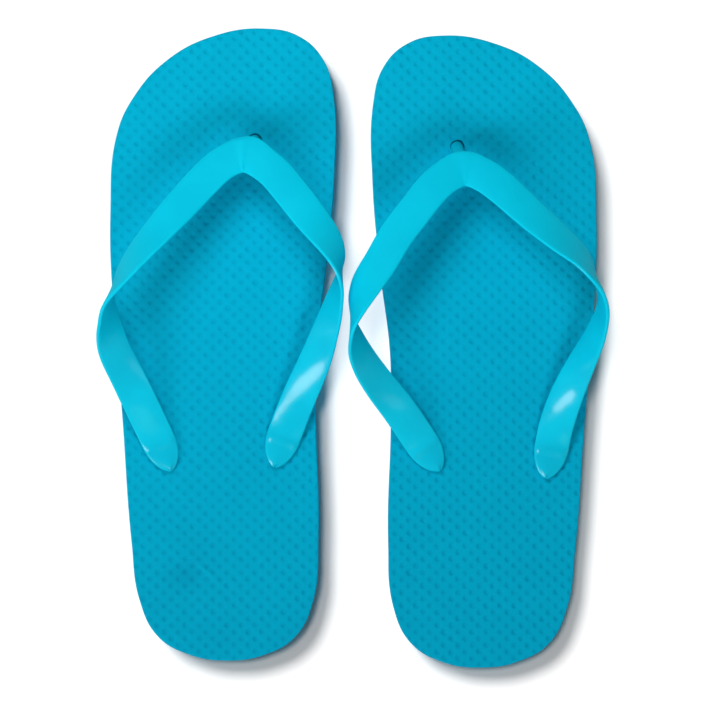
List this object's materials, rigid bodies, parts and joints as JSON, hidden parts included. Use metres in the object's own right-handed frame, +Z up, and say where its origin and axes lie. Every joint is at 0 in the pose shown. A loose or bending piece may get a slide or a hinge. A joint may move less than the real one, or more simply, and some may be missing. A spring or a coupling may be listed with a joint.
{
  "type": "pair of flip flops",
  "caption": "Left and right flip flops with flat two-layer foam soles, dimpled footbeds and twisted Y straps held by a toe post and side plugs; each sole flexes at the ball of the foot.",
  "frame": {"origin": "on the floor, under the middle of the pair's bounding box", "axes": "+Y from the heels to the toes, +X from the left sandal to the right sandal, +Z up"},
  "size_m": [0.2061, 0.2628, 0.0564],
  "materials": {
    "footbed_foam": "matte closed-cell foam with a pressed dimple pattern",
    "outsole_foam": "matte closed-cell foam",
    "strap_moulding": "soft moulded vinyl with a satin gloss",
    "plug_moulding": "soft moulded vinyl, satin"
  },
  "bodies": {
    "left_heel": {"left_footbed_rear": "footbed_foam", "left_outsole_rear": "outsole_foam", "left_strap": "strap_moulding", "left_outer_plug": "plug_moulding", "left_inner_plug": "plug_moulding"},
    "left_toe": {"left_footbed_front": "footbed_foam", "left_outsole_front": "outsole_foam", "left_toe_post": "plug_moulding"},
    "right_heel": {"right_footbed_rear": "footbed_foam", "right_outsole_rear": "outsole_foam", "right_strap": "strap_moulding", "right_outer_plug": "plug_moulding", "right_inner_plug": "plug_moulding"},
    "right_toe": {"right_footbed_front": "footbed_foam", "right_outsole_front": "outsole_foam", "right_toe_post": "plug_moulding"}
  },
  "joints": [
    {"name": "left_flex", "type": "hinge", "parent": "left_heel", "child": "left_toe", "pos_m": [-0.0535, 0.04645, 0.015], "axis": [1, 0, 0], "range_deg": [0, 45], "stiffness_Nm_per_rad": 1, "deforming": ["left_strap"]},
    {"name": "right_lift", "type": "slide", "parent": "left_heel", "child": "right_heel", "axis": [0, 0, 1], "range_m": [0, 0.12]},
    {"name": "right_flex", "type": "hinge", "parent": "right_heel", "child": "right_toe", "pos_m": [0.0535, 0.04355, 0.015], "axis": [1, 0, 0], "range_deg": [0, 45], "stiffness_Nm_per_rad": 1, "deforming": ["right_strap"]}
  ]
}
